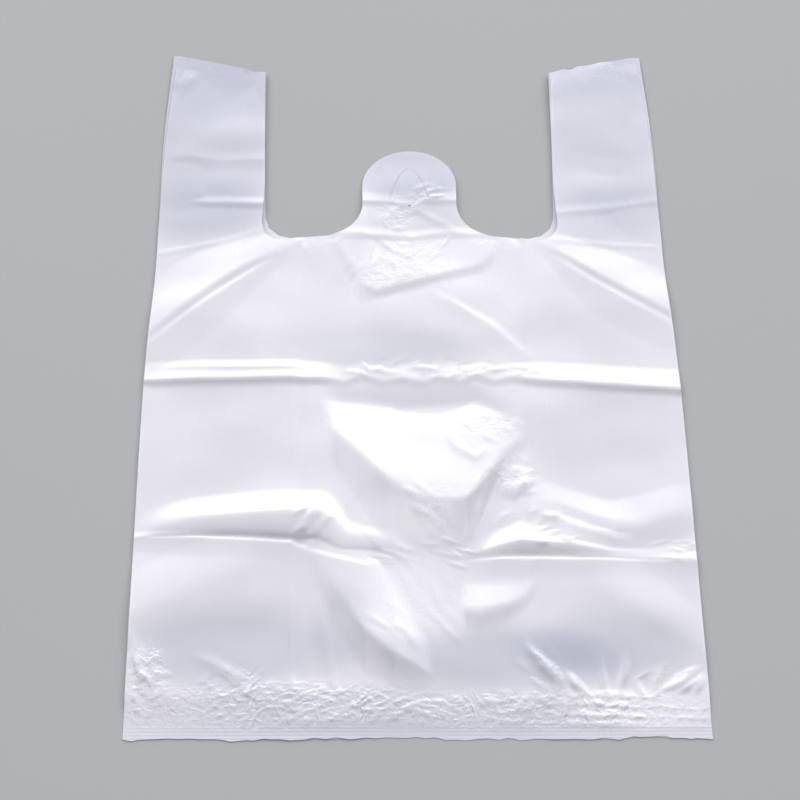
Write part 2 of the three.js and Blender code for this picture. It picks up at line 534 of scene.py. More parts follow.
def shoulder_folds() -> tuple[Fold, ...]:
    """The slanted folds from the sides up to the handle roots: a crest over a groove on each side.

    Returns:
        The folds, from the left.
    """
    left_crest = (
        (-150, 257, 1.5, 28, 22), (-134, 272, 2.3, 27, 26), (-112, 292, 2.4, 23, 26),
        (-100, 302.5, 2.2, 20, 24), (-90, 308.5, 1.7, 17, 18), (-76, 317, 0.9, 11, 10),
        (-66, 323, 0.0, 8, 6),
    )
    left_groove = (
        (-150, 252, -0.3, 4.0, 2.4), (-134, 267, -0.7, 4.2, 2.2), (-112, 286.5, -0.85, 4.4, 2.2),
        (-91, 304, -0.7, 3.6, 2.2), (-76, 315, 0.0, 2.6, 2.0),
    )
    right_crest = (
        (70, 328, 0.0, 6, 6), (79, 321.5, 0.7, 8, 10), (90, 313.5, 1.4, 12, 18),
        (102, 304, 1.9, 15, 24), (114, 295, 2.2, 19, 26), (129, 284.5, 2.3, 23, 26),
        (150, 271, 1.5, 27, 22),
    )
    right_groove = (
        (80, 317, 0.0, 2.2, 2.2), (92, 308, -0.5, 2.6, 2.6), (103, 299, -0.8, 3.0, 2.8),
        (125, 283, -0.85, 3.4, 2.8), (150, 267, -0.6, 3.6, 2.8),
    )
    return (
        Fold(left_crest, far_power=FLAT, near_power=1.2),
        Fold(left_groove, far_power=FLAT, near_power=FLAT),
        Fold(right_crest, far_power=FLAT, near_power=1.2),
        Fold(right_groove, far_power=FLAT, near_power=FLAT),
    )


def upper_folds() -> tuple[Fold, ...]:
    """The facet under the tab, and the upper packing fold across the bag.

    Returns:
        The folds, each with the thin line beside it.
    """
    under_tab = (
        (-47, 330, 0.0, 8, 6), (-40, 318, 0.8, 10, 6), (-34, 309, 0.9, 16, 6), (-29, 292, 1.2, 26, 6),
        (-19, 288, 1.4, 32, 6), (4, 296, 1.4, 34, 6), (22, 302, 1.2, 32, 6), (41, 308, 1.0, 24, 6),
        (53, 323, 0.0, 10, 5),
    )
    under_tab_line = (
        (9, 288, 0, 3, 9), (25, 278, 0.5, 3, 11), (46, 262, 0.7, 3.5, 12), (61, 246, 0.4, 3, 10),
        (68, 238, 0, 3, 8),
    )
    packing_fold = (
        (-150, 226, 1.8, 12, 4.4), (-118, 226, 2.1, 13, 4.6), (-63, 226, 2.0, 12, 4.6),
        (-50, 226, 1.7, 11, 4.4), (-38, 224, 0.8, 9, 5), (-28, 228, 1.2, 8, 5), (-16, 224, 0.7, 10, 5),
        (-6, 226, 1.2, 9, 5), (6, 223, 0.7, 11, 5), (14, 227, 1.1, 8, 5), (26, 224, 0.7, 10, 5),
        (36, 228, 1.1, 8, 5), (46, 224, 0.8, 10, 5), (56, 227, 1.1, 9, 5), (68, 224, 1.8, 12, 4.4),
        (105, 222, 2.1, 13, 4.6), (150, 220, 2.0, 13, 4.6),
    )
    packing_line = (
        (-146, 234, 0, 4, 1.6), (-110, 233.5, 0.5, 4, 1.6), (-75, 233, 0.45, 4, 1.6),
        (-54, 233, 0, 4, 1.6),
    )
    return (
        Fold(under_tab, far_power=FLAT, near_power=1.6),
        Fold(under_tab_line),
        Fold(packing_fold, far_power=FLAT, near_power=1.8),
        Fold(packing_line),
    )


def middle_folds() -> tuple[Fold, ...]:
    """The broad bright facet in the middle of the bag, with the dip over it and the ridge under it.

    Returns:
        The folds, the largest first.
    """
    facet = (
        (-51, 212, 0.0, 6, 10), (-45, 192, 2.7, 22, 22), (-21, 166, 6.2, 45, 40),
        (-14, 158, 6.7, 49, 42), (-6, 152.5, 7.1, 51, 42), (4, 149, 7.4, 53, 41),
        (14, 147, 7.7, 54, 39), (22, 146.3, 8.0, 57, 37), (28, 148, 8.1, 59, 34),
        (32, 152.5, 7.8, 58, 31), (36, 159, 7.0, 53, 27), (50, 178, 3.0, 22, 16), (63, 189, 0.0, 6, 6),
    )
    dip = (
        (-52, 211, 0, 8, 20), (-40, 209, -1.8, 12, 40), (-7, 205, -2.2, 16, 52),
        (35, 208, -2.2, 14, 55), (58, 196, 0, 12, 20),
    )
    ridge = (
        (108, 28, 0, 7, 6), (122, 31, 1.6, 9, 6), (138, 35, 2.0, 10, 6), (152, 39, 1.2, 9, 6),
        (170, 47, 0, 7, 5),
    )
    side_facet = (
        (44, 150, 0, 12, 6), (52, 152, 1.6, 20, 7), (60, 156, 1.6, 22, 7), (66, 160, 0, 14, 6),
    )
    crease = (
        (17, 192, 0, 3, 3), (21.5, 179.5, 0.5, 3, 3.5), (33.5, 169.5, 0.6, 3, 3.5), (41, 177, 0, 3, 3),
    )
    split = (
        (176, 21, 0, 3, 2.5), (184, 20.5, 0.4, 3, 2.5), (194, 20.5, 0.4, 3, 2.5),
        (203, 20.5, 0, 3, 2.5),
    )
    nick = ((197, -14.5, 0, 3, 3), (203, -13.5, 0.6, 3.5, 3), (211, -12, 0, 3, 3))
    return (
        Fold(facet, square=True, far_power=FLAT, near_power=1.5, rounding=1.0),
        Fold(dip, square=True, far_power=1.6, near_power=FLAT, rounding=1.0),
        Fold(ridge, along_bag=True),
        Fold(side_facet, square=True, far_power=FLAT),
        Fold(crease, far_power=FLAT),
        Fold(split, along_bag=True),
        Fold(nick, along_bag=True),
    )


def lower_folds() -> tuple[Fold, ...]:
    """The lower packing fold, which stands up as a lens at each side over a pressed valley.

    Returns:
        The folds, from the left.
    """
    left_lens = (
        (-150, 126, 0.2, 8, 3), (-140, 129, 1.0, 9, 3.4), (-120, 134, 3.0, 10, 7.5),
        (-99, 136, 4.8, 10, 10), (-78, 137, 5.6, 10, 12.5), (-62, 138, 5.6, 9, 14.5),
        (-52, 139, 4.6, 8, 14.5), (-46, 134, 3.0, 8, 10), (-40, 127, 2.2, 7, 6.5),
        (-36, 122, 1.6, 4, 4), (-21, 119.5, 1.6, 4, 3.5), (-11, 116.5, 1.1, 4, 4), (0, 106, 0, 4, 4),
    )
    left_valley = (
        (-150, 122.5, 0.8, 3.2, 10), (-115, 121, 1.1, 3.0, 12), (-83, 118.5, 1.1, 3.0, 12),
        (-67, 116.5, 0.8, 2.8, 11), (-45, 107, 0.5, 2.6, 11), (-29, 103, 0.4, 2.6, 10),
        (-16, 101, 0, 2.6, 9),
    )
    knuckle = ((114, -68, 0, 6, 3), (125, -61, 1.0, 6, 3), (135, -54, 1.2, 5, 3), (141, -49, 0, 4, 3))
    knuckle_line = (
        (112, -58, 0, 5, 3), (122, -53, 0.9, 5, 3), (131, -48, 1.0, 5, 3), (138, -45, 0, 4, 3),
    )
    right_lens = (
        (24, 110.5, 0, 6, 3), (36, 112.5, 1.2, 8, 3), (45, 116.5, 2.8, 9, 6.5), (56, 120, 4.2, 11, 9.5),
        (65, 119, 4.0, 11, 9), (72, 117.5, 3.5, 11, 8), (81, 117.5, 3.4, 12, 8),
        (90, 115, 2.6, 12, 6.5), (106, 111.5, 1.2, 11, 3.5), (120, 110.5, 0.8, 8, 3),
        (150, 109.5, 0.8, 8, 3),
    )
    right_valley = (
        (26, 105, 0, 3.2, 9), (45, 107.5, 1.1, 3.2, 11), (77, 106.5, 1.3, 3.2, 12),
        (150, 106.5, 0.9, 3.2, 10),
    )
    sweep = (
        (58, 143, 0.0, 12, 10), (70, 137, 1.9, 15, 11), (88, 131, 2.5, 16, 11), (105, 126, 2.6, 16, 10),
        (120, 129, 2.3, 15, 12), (136, 136, 1.8, 14, 14), (150, 141, 0.8, 12, 12),
    )
    sweep_groove = (
        (66, 139, 0, 6, 4), (80, 133, -0.9, 7, 4), (95, 126.5, -1.0, 7, 4), (108, 122.5, -0.8, 7, 4),
        (120, 123, 0, 6, 4),
    )
    return (
        Fold(left_lens, far_power=1.6, near_power=0.55, rounding=5.0),
        Fold(left_valley),
        Fold(knuckle, along_bag=True),
        Fold(knuckle_line, along_bag=True),
        Fold(right_lens, far_power=1.5, near_power=0.75, rounding=1.0),
        Fold(right_valley),
        Fold(sweep, far_power=1.05, near_power=FLAT, rounding=3.0),
        Fold(sweep_groove, far_power=FLAT),
    )


def bottom_folds() -> tuple[Fold, ...]:
    """The facets and bands between the lower packing fold and the weld.

    Returns:
        The folds, the middle ones first.
    """
    diagonal = (
        (-56, 112, 0.0, 10, 6), (-44, 94, 2.4, 22, 14), (-27, 67, 5.2, 30, 18), (-11, 52, 5.4, 32, 18),
        (0, 44, 3.0, 24, 14), (9, 37, 0.0, 12, 9),
    )
    small_facet = (
        (23, 80, 0.0, 12, 8), (27, 77, 2.4, 16, 11), (33, 76, 3.0, 17, 12), (46, 79.5, 2.6, 14, 12),
        (56, 84, 1.4, 9, 9), (65, 95, 0.0, 3, 5),
    )
    left_band = (
        (-150, 76, 1.3, 18, 22), (-120, 90, 1.8, 20, 24), (-97, 101, 1.2, 18, 20),
        (-78, 107, 0, 12, 16),
    )
    left_line = ((-117, 51, 0, 4, 8), (-105, 45, 0.9, 5, 9), (-92, 38, 0.9, 5, 9), (-80, 32, 0, 4, 7))
    left_corner = (
        (22, -137, 0, 5, 3), (45, -144, 1.8, 5, 3), (58, -147.5, 1.2, 4, 3), (68, -150, 0, 4, 3),
    )
    right_band = (
        (84, 102, 0, 14, 16), (105, 87, 1.5, 18, 20), (130, 68, 1.7, 18, 20), (150, 53, 1.0, 14, 14),
    )
    return (
        Fold(diagonal, far_power=FLAT, near_power=1.3),
        Fold(small_facet, square=True, far_power=FLAT),
        Fold(left_band, rounding=5.0),
        Fold(left_line),
        Fold(left_corner, along_bag=True),
        Fold(right_band, rounding=5.0),
    )


def pleat(
    start: Pair, end: Pair, high: float, end_reach: Pair, middle_reach: Pair, far_power: float
) -> Fold:
    """A short straight fold that is highest half way.

    Args:
        start: Its left end.
        end: Its right end.
        high: The lift half way.
        end_reach: The reach of its far and near flank at the ends.
        middle_reach: Their reach half way.
        far_power: The power of its far flank.

    Returns:
        The fold.
    """
    middle = ((start[0] + end[0]) / 2, (start[1] + end[1]) / 2)
    points = ((*start, 0, *end_reach), (*middle, high, *middle_reach), (*end, 0, *end_reach))
    return Fold(points, far_power=far_power)


def weld_folds() -> tuple[Fold, ...]:
    """The pleats that run into the bottom weld, the lines along it and the lines over the gusset.

    Returns:
        The crisp pleats at the right and the soft ones at the left, the lines at the right of the
        weld, and the two lines over the left gusset.
    """
    crisp_pleats = (
        ((54, 59), (75, 28), 1.8),
        ((62, 48), (79, 28), 1.8),
        ((74, 39), (88, 27), 2.2),
        ((93, 43), (98, 28), 1.9),
        ((102, 28), (110, 46), 2.1),
        ((110, 34), (118, 26), 1.5),
        ((120, 27), (126, 39), 1.6),
        ((122, 27), (145, 41), 2.1),
        ((129, 26), (147, 37), 2.0),
        ((139, 26), (150, 38), 1.9),
    )
    soft_pleats = (
        ((-118, 40), (-96, 24), 0.7),
        ((-104, 42), (-84, 27), 0.7),
        ((-70, 38), (-56, 24), 0.6),
        ((-138, 36), (-122, 24), 0.9),
    )
    folds = []
    for start, end, high in crisp_pleats:
        folds.append(pleat(start, end, high, end_reach=(3.0, 2.4), middle_reach=(3.6, 4.6), far_power=FLAT))
    for start, end, high in soft_pleats:
        folds.append(pleat(start, end, high, end_reach=(5.0, 3.4), middle_reach=(6.0, 5.5), far_power=1.2))

    line_start, line_full, line_end = 70, 92, 148
    line_reach = (3.4, 1.6)
    for left, right, high in ((26, 24, 0.5), (21, 18.5, 0.6), (15.5, 13.5, 0.7), (10, 8.7, 0.8)):
        rise = (line_start, left, 0, *line_reach), (line_full, left, high, *line_reach)
        folds.append(Fold((*rise, (line_end, right, high, *line_reach))))

    gusset_lines = (
        (
            (16, -64, 0, 2.5, 2.5), (45, -65, 0.3, 2.5, 2.5), (75, -66, 0.3, 2.5, 2.5),
            (100, -66, 0, 2.5, 2.5),
        ),
        ((22, -40, 0, 3, 5), (45, -45, 0.9, 3, 6), (70, -49, 0.9, 3, 6), (88, -51, 0, 3, 5)),
    )
    return (*folds, *(Fold(points, along_bag=True) for points in gusset_lines))


def handle_folds() -> tuple[Fold, ...]:
    """The folds across the handles, their roots and the hanging tab.

    Returns:
        Two folds on the left handle and one on the right, a line at each root and one near the right
        top, then a slanted line on the tab, a fold across it and one at its root.
    """
    lines = (
        ((-150, 388, 0.3, 9, 9), (-130, 391, 0.6, 12, 10), (-112, 387, 0.4, 8, 9), (-84, 388, 0.4, 7, 9)),
        ((-140, 357, 0.0, 5, 4), (-120, 355, 0.5, 5, 4), (-84, 353, 0.8, 5, 4)),
        ((82, 346, 0.25, 5, 5), (112, 350, 0.35, 5, 5), (150, 357, 0.35, 5, 5)),
        ((-150, 315, 0.2, 2.5, 2.5), (-116, 323, 0.25, 2.5, 2.5), (-82, 334, 0.15, 2.5, 2.5)),
        ((80, 326, 0.15, 2.5, 2.5), (110, 323, 0.2, 2.5, 2.5), (150, 321, 0.2, 2.5, 2.5)),
        ((126, 419, 0, 3, 3), (136, 420, 0.5, 3, 3), (146, 420.5, 0.4, 3, 3), (150, 421, 0, 3, 3)),
        ((2, 350, 0, 2.5, 2), (10, 344.5, 0.5, 3, 2), (21, 337, 0.5, 3, 2), (30, 331, 0, 2.5, 2)),
        (
            (-30, 356, 0.6, 7, 4), (-8, 355, 0.5, 6, 3), (0, 352, 0.2, 5, 3), (10, 356, 0.5, 6, 3),
            (30, 356, 0.6, 7, 4),
        ),
        (
            (-48, 331, 0.5, 5, 3), (-20, 329, 0.8, 6, 3), (0, 328, 0.4, 5, 3), (20, 331, 0.6, 5, 3),
            (48, 330, 0.4, 5, 3),
        ),
    )
    return tuple(Fold(points) for points in lines)


def worn_spots() -> tuple[Crumple | Crinkle, ...]:
    """The crumpled places of the film.

    Returns:
        The spots, about from the handles down to the bottom weld.
    """
    # Ranges of the creases' lengths, and of their widths.
    tiny, short, long = (5.0, 12.0), (6.0, 16.0), (8.0, 16.0)
    fine, thin, slim = (1.8, 4.0), (1.6, 3.0), (1.4, 2.8)
    return (
        Crumple((-118, 457), (30, 8), 16, short, fine, 0.4, heading=10, spread=40, seed=11),
        Crumple((118, 457), (30, 8), 16, short, fine, 0.4, heading=-10, spread=40, seed=12),
        Crumple((-137, 448), (9, 9), 8, tiny, (1.4, 3.0), 0.5, heading=50, spread=40, seed=31),
        Crumple((0, 352), (12, 10), 10, (6, 14), thin, 0.4, heading=90, spread=50, seed=13, grain=0.4),
        Crumple((10, 361), (9, 7), 10, (4, 10), (1.4, 2.6), 0.5, heading=20, spread=60, seed=28, grain=0.4),
        Crumple((-8, 342), (9, 11), 14, tiny, slim, 0.7, heading=60, spread=40, seed=29, grain=0.5),
        Crumple((0, 317), (28, 9), 16, (6, 14), thin, 0.6, heading=100, spread=60, seed=30, grain=0.3),
        Crumple((-54, 322), (24, 7), 9, short, fine, 0.5, heading=70, spread=35, seed=26),
        Crumple((58, 322), (24, 7), 9, short, fine, 0.5, heading=110, spread=35, seed=27),
        Crumple((-6, 300), (34, 14), 22, short, fine, 0.6, heading=90, spread=35, seed=14, grain=0.3),
        Crumple((16, 230), (56, 7), 30, short, fine, 0.6, heading=20, spread=70, seed=15),
        Crumple((-54, 128), (10, 10), 10, short, fine, 0.7, heading=50, spread=25, seed=16),
        Crumple((4, 108), (34, 9), 24, short, fine, 0.6, heading=155, spread=30, seed=17),
        Crumple((60, 128), (22, 12), 12, short, fine, 0.6, heading=20, spread=40, seed=22),
        Crumple((2, 74), (26, 26), 26, (10, 26), fine, 0.6, heading=125, spread=25, seed=18),
        Crumple((9, 134), (12, 16), 14, (8, 18), fine, 0.9, heading=126, spread=25, seed=24, grain=0.4),
        Crumple((40, 192), (20, 11), 16, tiny, thin, 0.6, heading=120, spread=60, seed=33, grain=0.5),
        Crumple(
            (54, 158), (13, 14), 18, (6, 14), (1.8, 3.6), 1.0, heading=30, spread=50, seed=34, grain=0.5
        ),
        Crumple((66, 116), (20, 5), 12, (5, 11), thin, 0.7, heading=20, spread=40, seed=25),
        Crumple((-94, 33), (20, 8), 16, long, (1.4, 2.6), 0.6, heading=60, spread=15, seed=35, grain=0.4),
        Crumple(
            (66, 43), (12, 16), 8, (10, 20), (1.6, 3.2), 0.9, heading=124, spread=14, seed=36, grain=0.3
        ),
        Crumple((130, 34), (17, 8), 12, long, slim, 0.9, heading=50, spread=18, seed=37, grain=0.3),
        Crinkle((-70, 18), (96, 15), 0.75, 5.5, heading=55, stretch=1.7, seed=19),
        Crinkle((64, 15), (102, 12.5), 0.75, 5.5, heading=120, stretch=1.7, seed=23),
        Crinkle((-139, 30), (12, 27), 1.1, 11.0, heading=104, stretch=3.0, seed=20),
        Crumple((140, 112), (12, 8), 12, short, fine, 0.5, heading=0, spread=40, seed=21),
    )


def painted_shade_patches() -> tuple[PaintedShadePatch, ...]:
    """Patches of painted shade that grey the film's colour, and of painted light that brighten it where the
    amount is below 0.

    Returns:
        The patches, in no set order, because they are only summed.
    """
    # Above 0 each patch is painted shade on the colour, and below 0 it is painted light.
    return (
        PaintedShadePatch((-118, 410), (54, 104), 0.9),
        PaintedShadePatch((118, 410), (54, 104), 0.7),
        PaintedShadePatch((0, 374), (44, 30), 1.0),
        PaintedShadePatch((-98, 52), (60, 28), 0.8),
        PaintedShadePatch((104, 54), (54, 24), 0.65),
        PaintedShadePatch((0, 14), (170, 16), 0.55),
        PaintedShadePatch((0, 2), (220, 10), 0.4),
        PaintedShadePatch((44, 46), (70, 20), 0.8),
        PaintedShadePatch((-40, 62), (16, 26), 0.5),
        PaintedShadePatch((6, 80), (34, 26), -0.35),
        PaintedShadePatch((-118, 458), (60, 40), 0.5),
        PaintedShadePatch((118, 458), (60, 34), 0.4),
        PaintedShadePatch((-118, 345), (60, 24), 0.35),
        PaintedShadePatch((118, 345), (60, 24), 0.35),
        PaintedShadePatch((0, 338), (44, 14), 0.4),
        PaintedShadePatch((112, 17), (44, 12), -0.8),
        PaintedShadePatch((-15, 246), (60, 17), 0.5),
        PaintedShadePatch((88, 258), (42, 24), 0.3),
        PaintedShadePatch((110, 188), (54, 32), 0.3),
        PaintedShadePatch((-105, 188), (54, 32), 0.15),
        PaintedShadePatch((2, 133), (34, 17), -0.4),
    )


@dataclass(frozen=True)
class Drift:
    """How the layers have slipped in their own plane.

    The waist is a share of the width, and lengths are in millimetres.
    """

    cut: BagCut
    waist: float = 0.024
    waist_at: float = 318.0
    waist_reach: float = 62.0
    taper_front: float = 9.5
    taper_back: float = 7.0
    taper_power: float = 1.2
    slump: float = 5.0
    spread: float = 2.5
    slump_from_root: Pair = (-4.0, 6.0)
    slump_reach: Pair = (16.0, 24.0)
    wave: Ripple = Ripple(0.5, 46.0, seed=31)
    wave_bottom: float = 40.0
    wave_over_tab: float = 30.0
    wave_top_share: float = 0.7
    teeth: Ripple = Ripple(0.3, 9.0, seed=32)
    teeth_bottom: float = 8.0
    teeth_top: Pair = (26.0, 12.0)

    def moved(self, x: Field, v: Field, stack: Field) -> tuple[Field, Field]:
        """Places of the film after it has slipped.

        The bag is a little narrower at the waist, the handles gather towards their tops, the front
        film sags beside the handle roots so that the back one shows, and the cut edges are wavy.

        Args:
            x: Places across the bag.
            v: Places along the bag.
            stack: The layer of each place.

        Returns:
            The new x and the new v.
        """
        cut = self.cut
        away, side = np.abs(x), np.sign(x)
        front = np.interp(stack, [Layer.LOWER_GUSSET, Layer.UPPER_GUSSET], [0.0, 1.0])
        up_handle = np.clip((v - cut.mouth) / cut.handle_length, 0.0, 1.0) ** self.taper_power
        from_inner = np.clip((away - cut.handle_inner) / cut.handle_width, 0.0, 1.0)
        taper = front * self.taper_front + (1 - front) * self.taper_back
        root_x, root_v = cut.handle_inner + self.slump_from_root[0], cut.mouth + self.slump_from_root[1]
        root = bell(away, root_x, self.slump_reach[0]) * bell(v, root_v, self.slump_reach[1]) * front
        waist = 1 - self.waist * bell(v, self.waist_at, self.waist_reach)
        new_x = x * waist - side * taper * from_inner * up_handle + side * self.spread * root

        bottom_wave = 1 - smooth_step(v, 0.0, self.wave_bottom)
        top_wave = smooth_step(v, cut.tab_top + self.wave_over_tab, cut.length)
        bottom_teeth = 1 - smooth_step(v, 0.0, self.teeth_bottom)
        top_teeth = smooth_step(v, cut.length - self.teeth_top[0], cut.length - self.teeth_top[1])
        wave = self.wave.lift(x, 0 * v) * (bottom_wave + self.wave_top_share * top_wave)
        teeth = self.teeth.lift(x, 0 * v) * (bottom_teeth + top_teeth)
        return new_x, v - self.slump * root + wave + teeth


@dataclass(frozen=True)
class FilmGrid:
    """The flat film tube as a grid: columns around it and rows along it.

    Column counts are for a density of 1. Each row span gives its upper end and its row step.
    """

    cut: BagCut
    front_density: float = 1.25
    back_density: float = 0.26
    gusset_density: float = 0.22
    fewest_columns: int = 3
    tab_columns: int = 18
    fillet_columns: int = 18
    mouth_columns: int = 9
    corner_columns: int = 11
    handle_columns: int = 36
    tab_crowding: float = 1.6
    cut_crowding: float = 1.8
    gusset_margin: float = 1.0
    fold_steps: int = 4
    row_spans: tuple[Pair, ...] = (
        (6.0, 1.0),
        (36.0, 0.75),
        (48.0, 1.0),
        (66.0, 1.6),
        (98.0, 2.4),
        (124.0, 0.8),
        (146.0, 1.3),
        (208.0, 2.0),
        (242.0, 1.3),
        (316.0, 1.6),
    )
    mouth_step: float = 1.7
    tab_step: float = 1.4
    handle_step: float = 4.0

    def half_columns(self, density: float) -> Field:
        """Columns from the middle to the right side, closest beside the cut edges.

        Args:
            density: How many columns, as a share of the counts.

        Returns:
            Rising places across the bag.
        """
        cut = self.cut

        def steps(count: int) -> Field:
            """Even shares from just above 0 to 1."""
            number = max(self.fewest_columns, round(count * density))
            return np.arange(1, number + 1) / number

        fillet_end = cut.tab_half + cut.fillet_radius
        corner_start = cut.handle_inner - cut.corner_radius
        before_handle = cut.corner_radius * (1 - steps(self.corner_columns)) ** self.cut_crowding
        return np.concatenate(
            [
                [0.0],
                cut.tab_half * (1 - (1 - steps(self.tab_columns)) ** self.tab_crowding),
                cut.tab_half + cut.fillet_radius * steps(self.fillet_columns) ** self.cut_crowding,
                fillet_end + (corner_start - fillet_end) * steps(self.mouth_columns),
                cut.handle_inner - before_handle,
                cut.handle_inner + (cut.side - cut.handle_inner) * steps(self.handle_columns),
            ]
        )

    def columns(self) -> tuple[Field, Field, Field]:
        """The columns once around the tube, from the left end of the front panel.

        Each panel runs across the bag, and a half-turn fold of a few columns joins it to the next.

        Returns:
            The place across the bag, the layer, and the share of the fold's bulge of each column.
        """
        cut = self.cut
        turn = np.arange(1, self.fold_steps) / self.fold_steps
        front = self.half_columns(self.front_density)
        back = self.half_columns(self.back_density)
        half = self.half_columns(self.gusset_density)
        past_fold = half[half > cut.gusset_inner + self.gusset_margin]
        gusset = np.concatenate([[cut.gusset_inner], past_fold])

        def panel(across: Field, layer: Layer) -> tuple[Field, Field, Field]:
            """The columns of one flat panel."""
            return across, np.full_like(across, layer), np.zeros_like(across)

        def fold(across: float, start: Layer, end: Layer, way: float) -> tuple[Field, Field, Field]:
            """The columns of one fold, which bulges to the left or right as a half circle."""
            stack = start + (end - start) * (1 - np.cos(math.pi * turn)) / 2
            return np.full_like(turn, across), stack, way * np.sin(math.pi * turn)

        whole_front = np.concatenate([-front[:0:-1], front])
        whole_back = np.concatenate([back[::-1], -back[1:]])
        parts = [
            panel(whole_front, Layer.FRONT),
            fold(cut.side, Layer.FRONT, Layer.UPPER_GUSSET, 1.0),
            panel(gusset[::-1], Layer.UPPER_GUSSET),
            fold(cut.gusset_inner, Layer.UPPER_GUSSET, Layer.LOWER_GUSSET, -1.0),
            panel(gusset, Layer.LOWER_GUSSET),
            fold(cut.side, Layer.LOWER_GUSSET, Layer.BACK, 1.0),
            panel(whole_back, Layer.BACK),
            fold(-cut.side, Layer.BACK, Layer.LOWER_GUSSET, -1.0),
            panel(-gusset[::-1], Layer.LOWER_GUSSET),
            fold(-cut.gusset_inner, Layer.LOWER_GUSSET, Layer.UPPER_GUSSET, 1.0),
            panel(-gusset, Layer.UPPER_GUSSET),
            fold(-cut.side, Layer.UPPER_GUSSET, Layer.FRONT, -1.0),
        ]
        across, stack, bulge = (np.concatenate(group) for group in zip(*parts))
        return across, stack, bulge

    def rows(self) -> Field:
        """The rows from the bottom edge to the handle tops, closest across the folds.

        Returns:
            Rising places along the flat bag, with one at the mouth and one at the tab's top.
        """
        cut = self.cut
        mouth_span = (cut.mouth, self.mouth_step)
        tab_span = (cut.tab_top, self.tab_step)
        handle_span = (cut.length, self.handle_step)
        rows = [np.zeros(1)]
        start = 0.0
        for end, step in (*self.row_spans, mouth_span, tab_span, handle_span):
            count = max(1, round((end - start) / step))
            rows.append(start + (end - start) * np.arange(1, count + 1) / count)
            start = end
        return np.concatenate(rows)

    @staticmethod
    def cells(columns: int, rows: int) -> NDArray[np.int64]:
        """The vertex numbers of every cell's corners. The last column is joined to the first.

        Args:
            columns: How many columns there are.
            rows: How many rows each column has.

        Returns:
            Four numbers for each cell, by column and row.
        """
        column = np.arange(columns)[:, None]
        following = (column + 1) % columns
        row = np.arange(rows - 1)[None, :]
        corners = ((column, row), (following, row), (following, row + 1), (column, row + 1))
        return np.stack([at * rows + up for at, up in corners], axis=-1)


@dataclass(frozen=True)
class FilmMesh:
    """The film as arrays: vertices and flat places in metres, quads, tones and the flat area."""

    points: Field
    quads: NDArray[np.int64]
    flat: Field
    tones: dict[str, Field]
    area: float


